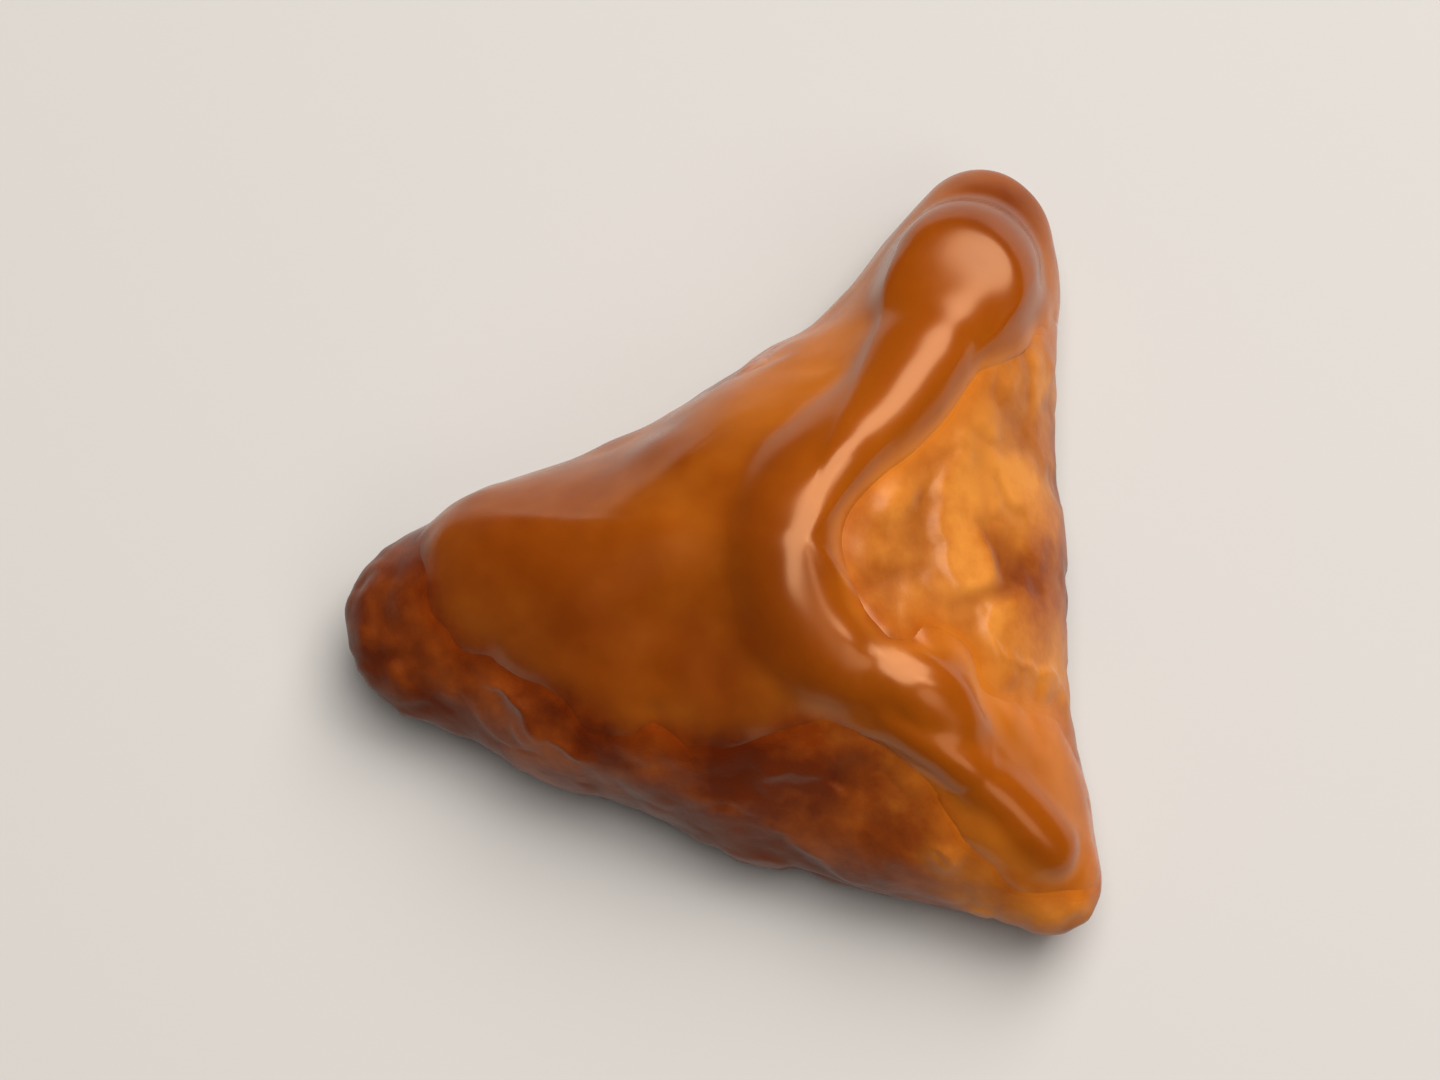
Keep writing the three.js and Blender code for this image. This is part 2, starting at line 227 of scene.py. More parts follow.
# %% Slow swells and large blisters
SWELLS = [
    {"along": [0.31, 0.17, 0.10], "phase": 0.6, "height": 0.34},
    {"along": [-0.14, 0.36, 0.21], "phase": 2.2, "height": 0.28},
    {"along": [0.43, -0.29, 0.16], "phase": 4.1, "height": 0.20},
]
BLISTER_COUNT = 52
BLISTER_RADIUS = [2.2, 4.4]
BLISTER_RISE = 0.2
BLISTER_STRAY = 0.12
BLISTER_LOWEST = -0.5
TIPWARD = [19.0, 29.0]
TIP_SHRINK = 0.5
GOLDEN_SHARE = 0.618034
BLISTER_SEED = 20117


def ease(value, low, high):
    """A soft step from 0 at low to 1 at high."""
    t = np.clip((value - low) / (high - low), 0, 1)
    return t * t * (3 - 2 * t)


def swell_at(points):
    return sum(
        swell["height"] * np.sin(points @ np.array(swell["along"]) + swell["phase"])
        for swell in SWELLS
    )


def drawer(seed):
    """A repeatable draw between 0 and 1."""
    state = seed
    while True:
        state = (state * 1664525 + 1013904223) % 4294967296
        yield state / 4294967296


def large_blisters():
    draw = drawer(BLISTER_SEED)
    turned, radii = [], []
    for count in range(BLISTER_COUNT):
        azimuth = math.tau * (count * GOLDEN_SHARE + BLISTER_STRAY * next(draw))
        height = 1 - (1 - BLISTER_LOWEST) * (count + next(draw)) / BLISTER_COUNT
        level = math.sqrt(1 - height * height)
        turned.append([level * math.cos(azimuth), level * math.sin(azimuth), height])
        radii.append(BLISTER_RADIUS[0] + (BLISTER_RADIUS[1] - BLISTER_RADIUS[0]) * next(draw))
    middles, _ = pastry_form(np.array(turned))
    tipward = ease(np.hypot(middles[:, 0], middles[:, 1]), *TIPWARD)
    return middles, np.array(radii) * (1 - TIP_SHRINK * tipward)


def caps(points, middles, radii, rise):
    """The height of rounded caps, each a share of its own radius high, the highest one counting."""
    height = np.zeros(len(points))
    for middle, radius in zip(middles, radii):
        away = np.sum((points - middle) ** 2, axis=1) / radius ** 2
        near = away < 1
        height[near] = np.maximum(height[near], rise * radius * (1 - away[near]) ** 2)
    return height


blister_middles, blister_radii = large_blisters()
print("large blisters:", len(blister_radii), "up to", round(max(blister_radii) * 2, 1), "mm across")

# %% Cloudy noise and soft joins
def fractal(points, size, octaves):
    """Cloudy noise whose largest lumps are about size millimetres across, from -1 to 1."""
    return np.array([noise.fractal(Vector(point) / size, 1.0, 2.0, octaves) for point in points])


def warped(points, size, reach):
    """The points moved about by up to reach millimetres, so that round things there go uneven."""
    shoves = [noise.noise_vector(Vector(point) / size) for point in points]
    return points + reach * np.array(shoves)


def soft_highest(a, b, blend):
    """The higher of two heights, with a fillet where they cross."""
    return blend * np.logaddexp(a / blend, b / blend)


# %% [markdown]
# ## Where the caramel lies
# Hot caramel was trailed over the pastry. It ran together into a smooth sheet on the left and at
# two of the corners, and the sheet's front edge set as a thick rolled bead: it starts in a fat
# drop on the blunt corner and swings over the crown. A simulation of syrup would be slow and would
# land where it liked. Here the caramel's height over the dough is worked out at every point, as
# the highest of sheet, beads and drop with a soft join between them, so that every pool and bead
# lies where it does on the real one.

# %% The routes of the beads
BEADS = [
    {
        "route": [
            [10.6, 19.4], [9.1, 13.8], [6.2, 8.9], [2.8, 5.6], [0.0, 2.5], [-1.2, -1.0], [-0.8, -4.6],
            [0.8, -8.1], [4.3, -10.3], [9.7, -12.0],
        ],
        "half_widths": [3.2, 3.0, 2.8, 3.0, 1.9],
        "heights": [1.2, 0.8],
        "head": 0.3,
        "left_drawn": 0.5,
    },
    {
        "route": [[3.4, -12.8], [6.3, -14.1], [9.9, -15.8], [13.6, -17.9], [16.6, -20.8]],
        "half_widths": [1.1, 1.6],
        "heights": [0.7, 0.85],
        "head": 0,
        "left_drawn": 0.3,
    },
]
ROUTE_STEPS = 24


def smooth_route(route):
    """Points along a curve through the route's points."""
    ends = [2 * np.array(route[0]) - route[1], *np.array(route), 2 * np.array(route[-1]) - route[-2]]
    t = np.linspace(0, 1, ROUTE_STEPS, endpoint=False)[:, None]
    bends = []
    for a, b, c, d in zip(ends, ends[1:], ends[2:], ends[3:]):
        cubic = 3 * b - 3 * c + d - a
        square = 2 * a - 5 * b + 4 * c - d
        bends.append(b + 0.5 * (t * (c - a) + t ** 2 * square + t ** 3 * cubic))
    return np.vstack(bends)


for bead in BEADS:
    bead["line"] = smooth_route(bead["route"])
    steps = np.diff(bead["line"], axis=0)
    print("bead length in plan, mm:", round(np.linalg.norm(steps, axis=1).sum(), 1))

# %% The sheet, which ends under the long bead
LEFT_POOLS = [
    {"x": -21.0, "y": -0.5, "radius": 5.5},
    {"x": -13.0, "y": 1.0, "radius": 9.0},
    {"x": -9.5, "y": -5.5, "radius": 8.0},
    {"x": -2.5, "y": -6.5, "radius": 6.8},
    {"x": -3.0, "y": 4.5, "radius": 7.0},
    {"x": 4.5, "y": 12.0, "radius": 5.0},
    {"x": 7.0, "y": 17.5, "radius": 4.5},
]
CORNER_POOLS = [
    {"x": 12.0, "y": 22.5, "radius": 7.6},
    {"x": 7.5, "y": -11.0, "radius": 3.3},
    {"x": 13.0, "y": -15.5, "radius": 4.2},
    {"x": 16.0, "y": -20.5, "radius": 3.2},
]
POOL_BLEND = 2.5
POOL_DEPTH = 0.8
POOL_EDGE = 4.0
ROLL_OFF = 0.15
LEAST_FILM = 0.25
FILM_BLEND = 0.12
SIDE_BLEND = 0.2
FRONT_SLOPE = 0.27
BURIED_DEPTH = 1.2
HEM_HEIGHT = 3.4
HEM_SCALLOP = 1.5
HEM_SPACING = 9.0


def pool_reach(points, pools):
    """How far inside a group of round pools a point lies, with fillets between the pools."""
    reach = [
        (pool["radius"] - np.hypot(points[:, 0] - pool["x"], points[:, 1] - pool["y"])) / POOL_BLEND
        for pool in pools
    ]
    return POOL_BLEND * np.logaddexp.reduce(reach, axis=0)


def side_of_bead(points, line):
    """The plan distance from a bead's line, positive on the sheet's side of it."""
    nearest = np.full(len(points), np.inf)
    side = np.zeros(len(points))
    for start, step in zip(line, np.diff(line, axis=0)):
        away = points[:, :2] - start
        turn = step[1] * away[:, 0] - step[0] * away[:, 1]
        gap = np.hypot(away[:, 0], away[:, 1])
        closer = gap < nearest
        nearest[closer] = gap[closer]
        side[closer] = np.sign(turn[closer])
    return side * nearest


def film_height(inside):
    """A film that thins out to its edge and rolls off under the crust beyond it."""
    thick = POOL_DEPTH * (1 - np.exp(-np.maximum(inside, 0) / POOL_EDGE))
    beyond = np.minimum(inside, 0)
    rolled_off = POOL_DEPTH / POOL_EDGE * beyond - ROLL_OFF * beyond ** 2
    return thick + np.maximum(rolled_off, -BURIED_DEPTH)


def sheet_over(form, stray):
    """The sheet's height over the dough, and how far inside its edge each point lies."""
    scallop = np.sin(math.tau * (form[:, 0] - form[:, 1]) / HEM_SPACING)
    hem = form[:, 2] - HEM_HEIGHT - HEM_SCALLOP * scallop + 0.5 * stray
    left = np.minimum(pool_reach(form, LEFT_POOLS) + stray, hem)
    corners = np.minimum(pool_reach(form, CORNER_POOLS) + stray, hem)
    side = side_of_bead(form, BEADS[0]["line"])
    front = FRONT_SLOPE * side + POOL_DEPTH
    left_film = -soft_highest(-film_height(left), -front, SIDE_BLEND)
    film = soft_highest(left_film, film_height(corners), SIDE_BLEND)
    inside = np.maximum(np.minimum(left, side + POOL_DEPTH / FRONT_SLOPE), corners)
    under = 0.7 * caps(form, blister_middles, blister_radii, BLISTER_RISE)
    covering = soft_highest(film, under + LEAST_FILM, FILM_BLEND) - film
    return np.maximum(film + covering * ease(inside, 0, 2.5), -BURIED_DEPTH), inside


# %% [markdown]
# ## The crust's relief
# Frying makes unevenness of several sizes. Small blisters and puckers, 1 to 4 mm across, cover the
# skin. Pinched corners crease into short pleats, a soft seam runs round the flank where the dough
# was pressed together, and the rim stands up a little inside its edge. All are moved points, so
# they catch the light and show in the outline; only what is finer than a third of a millimetre is
# left to the material.

# %% Small blisters, puckers, pleats and the seam
SMALL_BLISTERS = 420
SMALL_RADIUS = [0.7, 2.0]
SMALL_RISE = 0.08
PUCKER_SIZE = 3.8
PUCKER_HEIGHT = 0.22
PLEAT_SPACING = 2.6
PLEAT_HEIGHT = 0.06
SEAM_HEIGHT = 4.6
SEAM_WIDTH = 0.55
SEAM_DEPTH = 0.30
RIM_ROLL = 0.30
BLISTER_WARP_SIZE = 3.0
BLISTER_WARP = 1.1

form =smooth + normals * swell_at(smooth)[:, None]
uneven = warped(form, BLISTER_WARP_SIZE, BLISTER_WARP)
big_blisters = caps(uneven, blister_middles, blister_radii, BLISTER_RISE)
rng = random.Random(41)
small_middles = form[rng.sample(range(len(form)), SMALL_BLISTERS)]
small_radii = np.array([
    SMALL_RADIUS[0] + (SMALL_RADIUS[1] - SMALL_RADIUS[0]) * rng.random() ** 2
    for _ in range(SMALL_BLISTERS)
])
small_blisters = caps(form + (uneven - form) / 2, small_middles, small_radii, SMALL_RISE)

lumps = fractal(form, 7.0, 3)
puckers = np.abs(fractal(form + 40, PUCKER_SIZE, 2))
flank = 1 - np.abs(normals[:, 2])
walked = (place["side"] + place["share"]) / 3 * sum(SIDE_LENGTHS)
pleats = np.sin(math.tau * walked / PLEAT_SPACING + 8 * lumps)
pleat_share = ease(place["corner"] * place["out"], 0.70, 0.98)
seam = -np.exp(-(((form[:, 2] - SEAM_HEIGHT - 0.8 * lumps) / SEAM_WIDTH) ** 2)) * ease(flank, 0.3, 0.8)
rolled = np.exp(-(((place["out"] - 0.9) / 0.06) ** 2)) * place["upper"] * (1 - place["corner"])
fine_relief = (
    small_blisters + 0.25 * lumps + PUCKER_HEIGHT * (puckers - 0.15)
    + PLEAT_HEIGHT * pleats * pleat_share + SEAM_DEPTH * seam + RIM_ROLL * rolled
)
print("fine relief from", round(fine_relief.min(), 2), "to", round(fine_relief.max(), 2), "mm")

# %% Press the crust in where the sheet covers it, and flat where it rests
FLAT_DENT = 0.18
STRAY = 1.3
STRAY_SIZE = 5.0
CRUST_CLEARANCE = 0.15

stray = STRAY * fractal(form + 20, STRAY_SIZE, 3)
sheet_here, inside_here = sheet_over(form, stray)
soaked = ease(inside_here, -2.6, 0.2)
beside = 1 - ease(np.abs(side_of_bead(form, BEADS[0]["line"])), 3.2, 5.5)
blisters_left = (1 - np.maximum(0.7 * soaked, 0.5 * beside)) * (1 - 0.5 * beside)
relief = big_blisters * blisters_left + fine_relief * (1 - soaked)
press = sheet_here - CRUST_CLEARANCE + 1.5 * (1 - ease(inside_here, -0.3, 0.7))
crust_points = form + normals * np.minimum(relief, press)[:, None]
low = crust_points[:, 2] < 0
crust_points[low, 2] = FLAT_DENT * np.maximum(0, lumps[low] - 0.1)
cad_middle = (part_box(NODE)[0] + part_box(NODE)[1]) / 2 / MM
shell_middle = (crust_points.min(axis=0) + crust_points.max(axis=0)) / 2
SHIFT = np.array([cad_middle[0] - shell_middle[0], cad_middle[1] - shell_middle[1], 0])
print("outline's middle to the solid's middle, mm:", SHIFT.round(2))


# %% Make a mesh piece that rides on the pastry
def make_piece(name, points, faces, values):
    """A smooth-shaded piece in metres, with a number at each point for its material to read."""
    mesh = bpy.data.meshes.new(name)
    mesh.from_pydata(((points + SHIFT) * MM).tolist(), [], faces)
    mesh.shade_smooth()
    for value_name, numbers in values.items():
        layer = mesh.attributes.new(value_name, "FLOAT", "POINT")
        layer.data.foreach_set("value", np.ascontiguousarray(numbers, dtype=np.float32))
    piece = bpy.data.objects.new(name, mesh)
    bpy.context.scene.collection.objects.link(piece)
    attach(piece, "root")
    print(name, "has", len(mesh.polygons), "faces")
    return piece


# %% How dark each place was fried, with painted shade and painted light
EVENLY_BROWNED = 0.40
PATCHY = 0.27
PATCH_SIZE = 7.0
WET_REACH = 1.0
# Painted light and shade in these spots: the left corner is darker, partly fried and partly painted shade; the
# front, the tip beyond the drop and the right edge are darker as painted shade; the right facet and the lower
# right corner are paler as painted light.
BROWNING_AND_PAINTED_LIGHT = [
    {"x": -24.0, "y": -6.0, "radius": 13.0, "amount": 0.42},
    {"x": -3.0, "y": -18.0, "radius": 13.0, "amount": 0.46},
    {"x": 12.5, "y": 10.0, "radius": 13.0, "amount": -0.34},
    {"x": 14.0, "y": -15.0, "radius": 9.0, "amount": -0.40},
    {"x": 6.0, "y": -12.0, "radius": 4.5, "amount": -0.34},
    {"x": 15.0, "y": 27.0, "radius": 6.0, "amount": 0.45},
    {"x": 18.0, "y": 8.0, "radius": 4.5, "amount": 0.30},
    {"x": 18.0, "y": -1.0, "radius": 4.5, "amount": 0.34},
    {"x": 19.0, "y": -11.0, "radius": 4.5, "amount": 0.24},
]


def browning_and_painted_light_at(points):
    """Browning from frying, with painted shade darkening the corners, front, tip and right edge and painted light
    paling the right side, from 0 pale to 1 dark.
    """
    dark = np.full(len(points), EVENLY_BROWNED)
    for spot in BROWNING_AND_PAINTED_LIGHT:
        gap = np.hypot(points[:, 0] - spot["x"], points[:, 1] - spot["y"])
        dark += spot["amount"] * np.exp(-((gap / spot["radius"]) ** 2))
    return dark + PATCHY * fractal(points - 70, PATCH_SIZE, 4)


# The flanks are darker all round, partly as fried edges and partly as painted shade; the underside is browner.
fried_and_painted_light = browning_and_painted_light_at(form) + 0.18 * ease(flank, 0.2, 0.9) + np.where(place["upper"], 0, 0.1)
wet = np.exp(np.minimum(inside_here, 0) / WET_REACH)
crust = make_piece("crust", crust_points, squares.tolist(), {
    "fried_and_painted_light": np.clip(fried_and_painted_light, 0, 1),
    # How high each point stands, which the material uses to darken the hollows as painted shade.
    "relief_for_painted_shade": np.clip(0.5 + 0.8 * (relief - 0.25), 0, 1),
    "wet": wet,
})

# %% Round beads and the drop
DROP = {"x": 10.3, "y": 18.3, "half_width": 6.1, "half_length": 7.8, "rise": 1.6,
        "most": 2.3, "turn": 26}
DROP_LEAN = 0.5
DROP_FLATNESS = 4
DROP_FOOT = 1.9
DROP_UPRIGHT = [0.3, 0.8]
HEAD_REACH = 0.24
HEAD_START = 0.5
BEAD_FULLNESS = 0.5
BEAD_BLEND = 0.25
DROP_BLEND = 1.2
SMOOTHING = 6
DOWN = Vector((0, 0, -1))


def bead_height(points, bead, tree):
    """How high a bead with a round back stands over the surface it lies on, its left foot drawn out."""
    drawn = 1 + bead["left_drawn"] * ease(side_of_bead(points, bead["line"]), -0.6, 0.6)
    line = np.array([tree.ray_cast(Vector((x, y, 100)), DOWN)[0][:] for x, y in bead["line"]])
    station = np.linspace(0, 1, len(line))
    widths = np.interp(station, np.linspace(0, 1, len(bead["half_widths"])), bead["half_widths"])
    rises = np.linspace(*bead["heights"], len(line)) + bead["head"] * (1 - ease(station, 0, HEAD_REACH))
    rises *= HEAD_START + (1 - HEAD_START) * ease(station, 0, HEAD_REACH / 2)
    nearest = np.full(len(points), np.inf)
    rise = np.full(len(points), rises[0])
    for middle, here_width, here_rise in zip(line, widths, rises):
        away = np.linalg.norm(points - middle, axis=1) / (here_width * drawn)
        closer = away < nearest
        nearest[closer] = away[closer]
        rise[closer] = here_rise
    square = np.minimum(nearest, 1) ** 2
    section = (1 - square) * (1 + BEAD_FULLNESS * square)
    return rise * (section - 2 * (1 + BEAD_FULLNESS) * np.maximum(nearest - 1, 0))


def drop_height(points, normals, tree):
    """How high the fat drop stands: a nearly level blob on the sloping corner, with a drawn-out foot."""
    turn = math.radians(DROP["turn"])
    x, y = points[:, 0] - DROP["x"], points[:, 1] - DROP["y"]
    across = (x * math.cos(turn) - y * math.sin(turn)) / DROP["half_width"]
    along = (x * math.sin(turn) + y * math.cos(turn)) / DROP["half_length"]
    away = np.hypot(across, along)
    middle, slope, _, _ = tree.ray_cast(Vector((DROP["x"], DROP["y"], 100)), DOWN)
    level = middle.z - DROP_LEAN * (slope.x * x + slope.y * y) / slope.z
    blob = (1 - np.minimum(away, 1) ** DROP_FLATNESS) ** DROP_FOOT
    upright = np.maximum(normals[:, 2], DROP_UPRIGHT[0])
    on_top = ease(normals[:, 2], *DROP_UPRIGHT)
    climb = upright + DROP_LEAN * (1 - upright ** 2) / upright
    tall = (level + DROP["rise"] * blob - points[:, 2]) / climb
    return np.where(away < 1, np.clip(tall, 0, DROP["most"] * blob * on_top), 0)


def merged(base, first, second):
    """The higher of two heaps on a base, with a fillet where both are high."""
    gap = np.abs(first - second)
    reach = DROP_BLEND * np.sqrt(np.maximum(first, 0) * np.maximum(second, 0))
    fillet = np.maximum(reach - gap, 0) ** 2 / (4 * np.maximum(reach, MM))
    return base + np.maximum(first, second) + fillet


def evened(heights, faces, rounds):
    """Heights drawn level with their neighbours, as a liquid's skin draws out every crease."""
    meeting = np.bincount(faces.ravel(), minlength=len(heights))
    for _ in range(rounds):
        face_mean = np.repeat(heights[faces].mean(axis=1), faces.shape[1])
        heights = np.bincount(faces.ravel(), face_mean, len(heights)) / meeting
    return heights


# %% Work out the caramel's height at every point
CARAMEL_CUTS = 120
WAVER = 0.10

fine_directions, fine_squares = ball_of_squares(CARAMEL_CUTS)
fine, fine_place = pastry_form(fine_directions)
fine_normals = vertex_normals(fine, fine_squares)
fine_form = fine + fine_normals * swell_at(fine)[:, None]
fine_stray = STRAY * fractal(fine_form + 20, STRAY_SIZE, 3)
sheet, inside = sheet_over(fine_form, fine_stray)
sheet = sheet + WAVER * fractal(fine_form + 90, 5.0, 2) * ease(inside, 0, 3)
sheet_points = fine_form + fine_normals * sheet[:, None]
tree = BVHTree.FromPolygons(sheet_points.tolist(), fine_squares.tolist())
stack = np.maximum(sheet, 0)
height = sheet
for bead in BEADS:
    height = soft_highest(height, stack + bead_height(sheet_points, bead, tree), BEAD_BLEND)
drop = drop_height(sheet_points, fine_normals, tree)
topped = merged(stack, height - stack, drop)
height = evened(np.where(drop > 0, topped, height), fine_squares, SMOOTHING)
print("caramel up to", round(height.max(), 2), "mm over the dough")

# %% Keep the part that shows and close it underneath
SKIRT = 0.75
BED_DEPTH = 1.3


def closed_skin(outer, inner, faces):
    """One closed mesh between two layers of points with the same faces, walled along the edge."""
    used = np.unique(faces)
    renumber = np.full(len(outer), -1)
    renumber[used] = np.arange(len(used))
    top = renumber[faces]
    count = len(used)
    bed = top[:, ::-1] + count
    halves = {}
    for face in top.tolist():
        for k in range(4):
            halves[(face[k], face[(k + 1) % 4])] = True
    walls = [[b, a, a + count, b + count] for a, b in halves if (b, a) not in halves]
    points = np.vstack([outer[used], inner[used]])
    return points, top.tolist() + bed.tolist() + walls, used


shown = height > -SKIRT
kept = fine_squares[shown[fine_squares].any(axis=1)]
outer = fine_form + fine_normals * np.maximum(height, -BURIED_DEPTH)[:, None]
inner = fine_form - fine_normals * BED_DEPTH
caramel_points, caramel_faces, used = closed_skin(outer, inner, kept)
depth = np.concatenate([height[used], height[used]])
# The dough's browning, with its painted shade and painted light, under the caramel.
under_fried_and_painted_light = np.concatenate([browning_and_painted_light_at(fine_form[used])] * 2)
caramel = make_piece("caramel", caramel_points, caramel_faces, {
    "depth": np.clip(depth / 3, 0, 1),
    "fried_and_painted_light": np.clip(under_fried_and_painted_light, 0, 1),
})
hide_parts(NODE)
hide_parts(NODE)

# %% [markdown]
# ## Finishes
# Each finish starts from the real stuff. Fried dough is matt and porous, but here a thin film of
# set syrup lies on it, so the crust is a rough base under a clear coat. Caramel is cooked sugar:
# it bends light like other syrups (IOR about 1.5), it is almost a mirror where it set smooth,
# and a little light goes in and comes out warmer.


# %% Colour and node helpers
def linear(hex_colour):
    """An sRGB hex colour as linear red, green, blue and full alpha."""
    channels = [int(hex_colour[k:k + 2], 16) / 255 for k in (1, 3, 5)]
    bent = [c / 12.92 if c <= 0.04045 else ((c + 0.055) / 1.055) ** 2.4 for c in channels]
    return (*bent, 1.0)


def add_node(tree, kind, settings=None, links=None):
    """A shader node with its settings, and its sockets linked from other nodes' outputs."""
    node = tree.nodes.new(kind)
    for name, value in (settings or {}).items():
        if isinstance(name, int) or name in node.inputs:
            node.inputs[name].default_value = value
        else:
            setattr(node, name, value)
    for name, source in (links or {}).items():
        tree.links.new(source, node.inputs[name])
    return node


def set_stops(node, stops):
    """Give a colour ramp node its hex colours at their places."""
    elements = node.color_ramp.elements
    while len(elements) < len(stops):
        elements.new(0.5)
    for element, (position, colour) in zip(elements, stops):
        element.position = position
        element.color = linear(colour)


def new_material(name):
    material = bpy.data.materials.new(name)
    material.use_nodes = True
    material.node_tree.nodes.clear()
    return material, material.node_tree


def read_value(tree, name):
    """The number that each point of the mesh carries under a name."""
    return add_node(tree, "ShaderNodeAttribute", {"attribute_name": name}).outputs["Fac"]


MOTTLE = {"Scale": 380.0, "Detail": 5.0, "Roughness": 0.6}


# %% The colours of dry dough and of dough seen through syrup
def dough_colours(tree, mottle, fried_and_painted_light_share):
    """Dough from pale gold to dark brown, and the same dough wet with syrup."""
    mixed = add_node(tree, "ShaderNodeMath", {"operation": "MULTIPLY_ADD", 1: 0.6},
                     {0: mottle, 2: fried_and_painted_light_share})
    toned = add_node(tree, "ShaderNodeMath", {"operation": "SUBTRACT", 1: 0.30}, {0: mixed.outputs[0]})
    dry = add_node(tree, "ShaderNodeValToRGB", links={"Fac": toned.outputs[0]})
    set_stops(dry, [(0.10, "#CC8232"), (0.34, "#B4681F"), (0.60, "#91440F"), (0.88, "#642406")])
    wet = add_node(tree, "ShaderNodeMix", {"data_type": "RGBA", "blend_type": "MULTIPLY", 0: 1.0,
                                           7: linear("#F0D4A0")}, {6: dry.outputs["Color"]})
    return dry.outputs["Color"], wet.outputs[2]


# %% Fried dough under a film of syrup
def fried_dough():
    material, tree = new_material("fried_dough")
    position = add_node(tree, "ShaderNodeTexCoord").outputs["Object"]
    wet_share = read_value(tree, "wet")
    mottle = add_node(tree, "ShaderNodeTexNoise", MOTTLE, {"Vector": position})
    speckle = add_node(tree, "ShaderNodeTexNoise", {"Scale": 1500.0, "Detail": 3.0, "Roughness": 0.6},
                       {"Vector": position})
    dry, wet = dough_colours(tree, mottle.outputs["Fac"], read_value(tree, "fried_and_painted_light"))
    # Painted shade: the hollows of the relief are darkened, as if shade lay in them.
    painted_hollow_shade = add_node(tree, "ShaderNodeValToRGB", links={"Fac": read_value(tree, "relief_for_painted_shade")})
    set_stops(painted_hollow_shade, [(0.15, "#9A6438"), (0.55, "#FFFFFF")])
    shaded = add_node(tree, "ShaderNodeMix", {"data_type": "RGBA", "blend_type": "MULTIPLY", 0: 0.7},
                      {6: dry, 7: painted_hollow_shade.outputs["Color"]})
    glazed = add_node(tree, "ShaderNodeMix", {"data_type": "RGBA", "blend_type": "MIX"},
                      {0: wet_share, 6: shaded.outputs[2], 7: wet})
    dry_share = add_node(tree, "ShaderNodeMath", {"operation": "MULTIPLY_ADD", 1: -0.30, 2: 0.30},
                         {0: wet_share})
    grain = add_node(tree, "ShaderNodeBump", {"Distance": 0.00025},
                     {"Height": mottle.outputs["Fac"], "Strength": dry_share.outputs[0]})
    pores = add_node(tree, "ShaderNodeBump", {"Distance": 0.00010},
                     {"Height": speckle.outputs["Fac"], "Strength": dry_share.outputs[0],
                      "Normal": grain.outputs["Normal"]})
    roughness = add_node(tree, "ShaderNodeMath", {"operation": "MULTIPLY_ADD", 1: -0.25, 2: 0.45},
                         {0: wet_share})
    shader = add_node(tree, "ShaderNodeBsdfPrincipled", {
        "IOR": 1.45, "Specular Tint": linear("#FFC890"),
        "Coat Weight": 0.3, "Coat Roughness": 0.22, "Coat IOR": 1.45,
        "Subsurface Weight": 0.08, "Subsurface Scale": 0.001,
    }, {"Base Color": glazed.outputs[2], "Roughness": roughness.outputs[0],
        "Normal": pores.outputs["Normal"]})
    add_node(tree, "ShaderNodeOutputMaterial", links={"Surface": shader.outputs["BSDF"]})
    return material


crust.data.materials.append(fried_dough())


# %% Poured caramel
def poured_caramel():
    material, tree = new_material("poured_caramel")
    position = add_node(tree, "ShaderNodeTexCoord").outputs["Object"]
    depth_share, fried_and_painted_light_share = read_value(tree, "depth"), read_value(tree, "fried_and_painted_light")
    mottle = add_node(tree, "ShaderNodeTexNoise", MOTTLE, {"Vector": position})
    cloud = add_node(tree, "ShaderNodeTexNoise", {"Scale": 160.0, "Detail": 3.0, "Roughness": 0.5},
                     {"Vector": position})
    mixed = add_node(tree, "ShaderNodeMath", {"operation": "MULTIPLY_ADD", 1: 0.3},
                     {0: cloud.outputs["Fac"], 2: depth_share})
    sugar = add_node(tree, "ShaderNodeValToRGB", links={"Fac": mixed.outputs[0]})
    set_stops(sugar, [(0.18, "#B8691A"), (0.38, "#9B4D05"), (0.80, "#8E4202")])
    # The caramel is darkened over darker dough, so the dough's painted shade and painted light show through it
    # too.
    darkened = add_node(tree, "ShaderNodeValToRGB", links={"Fac": fried_and_painted_light_share})
    set_stops(darkened, [(0.2, "#FFFFFF"), (0.9, "#A06A48")])
    deep = add_node(tree, "ShaderNodeMix", {"data_type": "RGBA", "blend_type": "MULTIPLY", 0: 0.75},
                    {6: sugar.outputs["Color"], 7: darkened.outputs["Color"]})
    _, thin = dough_colours(tree, mottle.outputs["Fac"], fried_and_painted_light_share)
    covering = add_node(tree, "ShaderNodeMapRange", {"interpolation_type": "SMOOTHSTEP", "From Max": 0.15},
                        {"Value": depth_share})
    film = add_node(tree, "ShaderNodeMix", {"data_type": "RGBA", "blend_type": "MIX"},
                    {0: covering.outputs["Result"], 6: thin, 7: deep.outputs[2]})
    shader = add_node(tree, "ShaderNodeBsdfPrincipled", {
        "Roughness": 0.23, "IOR": 1.5, "Specular IOR Level": 0.85, "Specular Tint": linear("#FFCC9A"),
        "Subsurface Weight": 0.4, "Subsurface Scale": 0.0015,
        "Subsurface Radius": (1.0, 0.45, 0.12),
    }, {"Base Color": film.outputs[2]})
    add_node(tree, "ShaderNodeOutputMaterial", links={"Surface": shader.outputs["BSDF"]})
    return material


caramel.data.materials.append(poured_caramel())

# %% [markdown]
# ## Table, light and camera
# The pastry lies on a plain pale table. The photograph looks almost straight down, and its light
# is a wide soft box beyond the top of the picture, so the crests shine and the slopes nearest the
# viewer go dark.

# %% The table
TABLE_HALF = 3.0
TABLE_DROP = 0.00002


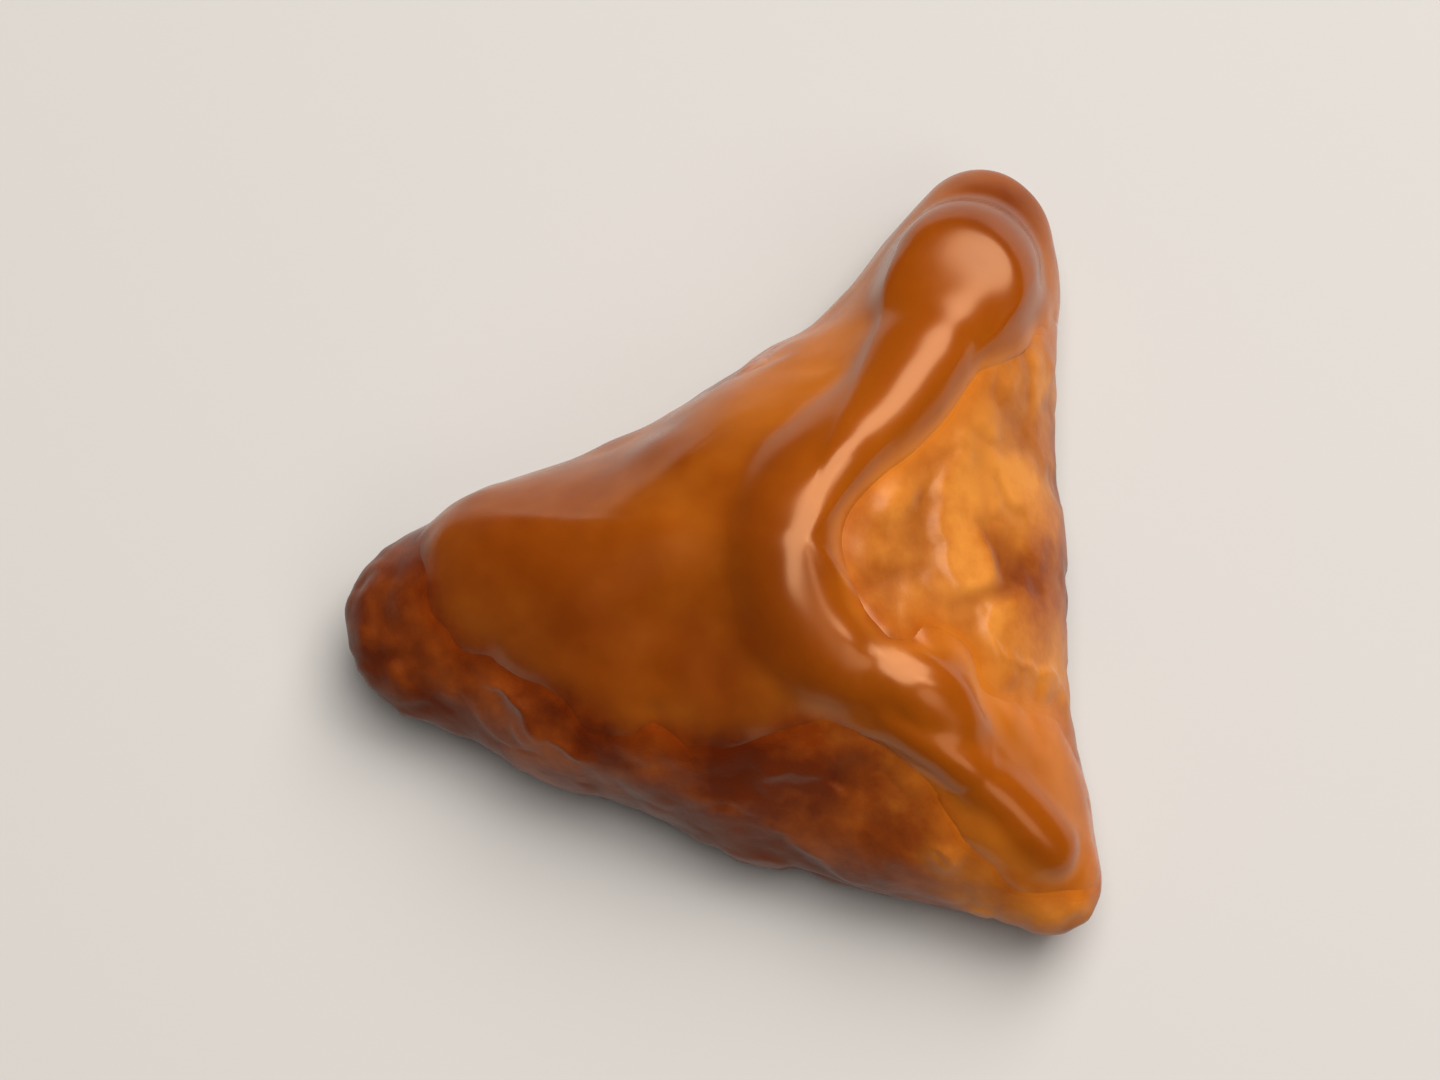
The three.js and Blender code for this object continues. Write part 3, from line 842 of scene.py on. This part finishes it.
def make_table():
    mesh = bpy.data.meshes.new("table")
    turns = [(-1, -1), (1, -1), (1, 1), (-1, 1)]
    mesh.from_pydata([(x * TABLE_HALF, y * TABLE_HALF, -TABLE_DROP) for x, y in turns], [], [(0, 1, 2, 3)])
    table = bpy.data.objects.new("table", mesh)
    bpy.context.scene.collection.objects.link(table)
    material, tree = new_material("pale_table")
    shader = add_node(tree, "ShaderNodeBsdfPrincipled", {"Base Color": linear("#BDBCBA"), "Roughness": 0.7})
    add_node(tree, "ShaderNodeOutputMaterial", links={"Surface": shader.outputs["BSDF"]})
    mesh.materials.append(material)
    table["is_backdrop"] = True


make_table()

# %% The camera, almost overhead
ELEVATION = 76.0
LENS = 100.0
DISTANCE = 0.275
AIM = Vector((0.0, 0.0, 0.008))


def spot(azimuth, elevation, distance):
    """A place seen from the pastry at a bearing and a height angle; azimuth 0 is on the viewer's side."""
    turn, rise = math.radians(azimuth), math.radians(elevation)
    level = distance * math.cos(rise)
    return AIM + Vector((level * math.sin(turn), -level * math.cos(turn), distance * math.sin(rise)))


def aimed(thing, place_at):
    thing.location = place_at
    thing.rotation_euler = (AIM - place_at).to_track_quat("-Z", "Y").to_euler()
    bpy.context.scene.collection.objects.link(thing)
    return thing


camera_data = bpy.data.cameras.new("camera")
camera_data.lens = LENS
camera_data.clip_start = 0.01
camera = aimed(bpy.data.objects.new("camera", camera_data), spot(0, ELEVATION, DISTANCE))
bpy.context.scene.camera = camera

# %% Soft light from beyond the top of the picture
LIGHTS = [
    {"name": "softbox", "azimuth": 150, "elevation": 66, "distance": 0.9, "width": 0.64, "length": 1.50,
     "power": 14.2, "colour": "#FFF9F3"},
    {"name": "side", "azimuth": 102, "elevation": 57, "distance": 0.9, "width": 0.30, "length": 0.30,
     "power": 1.0, "colour": "#FFF9F3"},
    {"name": "near", "azimuth": 50, "elevation": 50, "distance": 0.9, "width": 0.45, "length": 0.45,
     "power": 1.0, "colour": "#FFF9F3"},
]
for light in LIGHTS:
    lamp = bpy.data.lights.new(light["name"], "AREA")
    lamp.shape = "ELLIPSE"
    lamp.size = light["width"]
    lamp.size_y = light["length"]
    lamp.energy = light["power"]
    lamp.color = linear(light["colour"])[:3]
    aimed(bpy.data.objects.new(light["name"], lamp), spot(light["azimuth"], light["elevation"], light["distance"]))

world = bpy.data.worlds.new("studio")
bpy.context.scene.world = world
world.use_nodes = True
world.node_tree.nodes["Background"].inputs["Color"].default_value = linear("#F4F1EC")
world.node_tree.nodes["Background"].inputs["Strength"].default_value = 0.07
bpy.context.scene.view_settings.view_transform = "Standard"

# %% Print the finished size and finish
low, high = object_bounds()
print("finished size in mm:", [round((b - a) * 1000, 1) for a, b in zip(low, high)])
